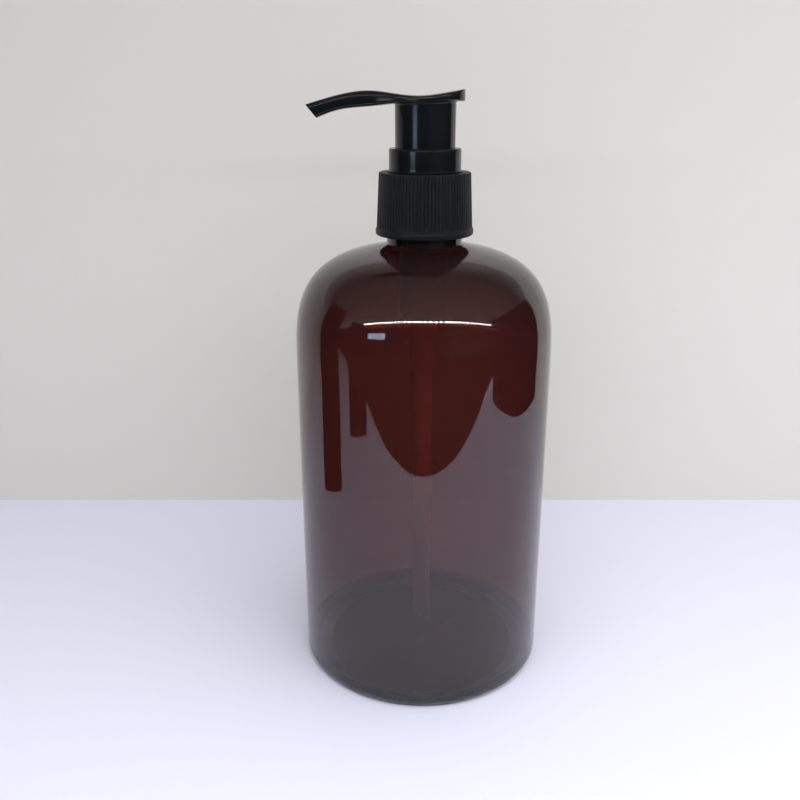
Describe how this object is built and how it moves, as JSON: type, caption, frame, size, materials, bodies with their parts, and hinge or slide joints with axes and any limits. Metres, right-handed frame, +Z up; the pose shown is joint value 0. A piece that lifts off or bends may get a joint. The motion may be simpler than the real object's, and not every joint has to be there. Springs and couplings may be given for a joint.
{
  "type": "pump bottle",
  "caption": "Round-shouldered amber bottle with a turn-lock lotion pump: curved spout head, ribbed screw closure, sprung piston and dip tube.",
  "frame": {"origin": "centre of the bottle's base, on the surface it stands on", "axes": "+Z up along the bottle axis; the nozzle points along -X"},
  "size_m": [0.076, 0.076, 0.1748],
  "materials": {
    "amber_pet": "blown glossy, transparent amber brown",
    "black_pp_gloss": "moulded glossy black",
    "black_pp_satin": "moulded satin black with fine vertical ribs",
    "natural_pp": "moulded milky translucent",
    "natural_pe": "soft moulded waxy white",
    "spring_steel": "drawn stainless wire",
    "ball_glass": "polished"
  },
  "bodies": {
    "bottle": {"bottle": "amber_pet"},
    "pump": {"housing": "natural_pp", "gasket": "natural_pe", "collar": "black_pp_gloss", "stem_guide": "natural_pp", "spring_seat": "natural_pp", "spring": "spring_steel", "dip_tube": "natural_pe"},
    "closure": {"closure": "black_pp_satin"},
    "stem": {"stem": "natural_pp", "piston_seat": "natural_pp"},
    "piston": {"piston": "natural_pe"},
    "actuator": {"actuator": "black_pp_gloss"},
    "valve_ball": {"valve_ball": "ball_glass"}
  },
  "joints": [
    {"name": "closure_turn", "type": "hinge", "parent": "pump", "child": "closure", "pos_m": [0, 0, 0.144], "axis": [0, 0, 1], "range_deg": [0, 540.1]},
    {"name": "pump_rise", "type": "slide", "parent": "bottle", "child": "pump", "axis": [0, 0, 1], "range_m": [0, 0.00476]},
    {"name": "pump_stroke", "type": "slide", "parent": "pump", "child": "stem", "axis": [0, 0, -1], "range_m": [0, 0.011], "stiffness_N_per_m": 700, "springref_m": -0.012, "deforming": ["spring"]},
    {"name": "head_turn", "type": "hinge", "parent": "stem", "child": "actuator", "pos_m": [0, 0, 0.165], "axis": [0, 0, 1], "range_deg": [0, 90]},
    {"name": "piston_shift", "type": "slide", "parent": "stem", "child": "piston", "axis": [0, 0, 1], "range_m": [0, 0.001]},
    {"name": "ball_lift", "type": "slide", "parent": "pump", "child": "valve_ball", "axis": [0, 0, 1], "range_m": [0, 0.0014]}
  ],
  "couplings": [
    {"joint": "closure_turn", "follows": "pump_rise", "rad_per_m": 1979}
  ]
}
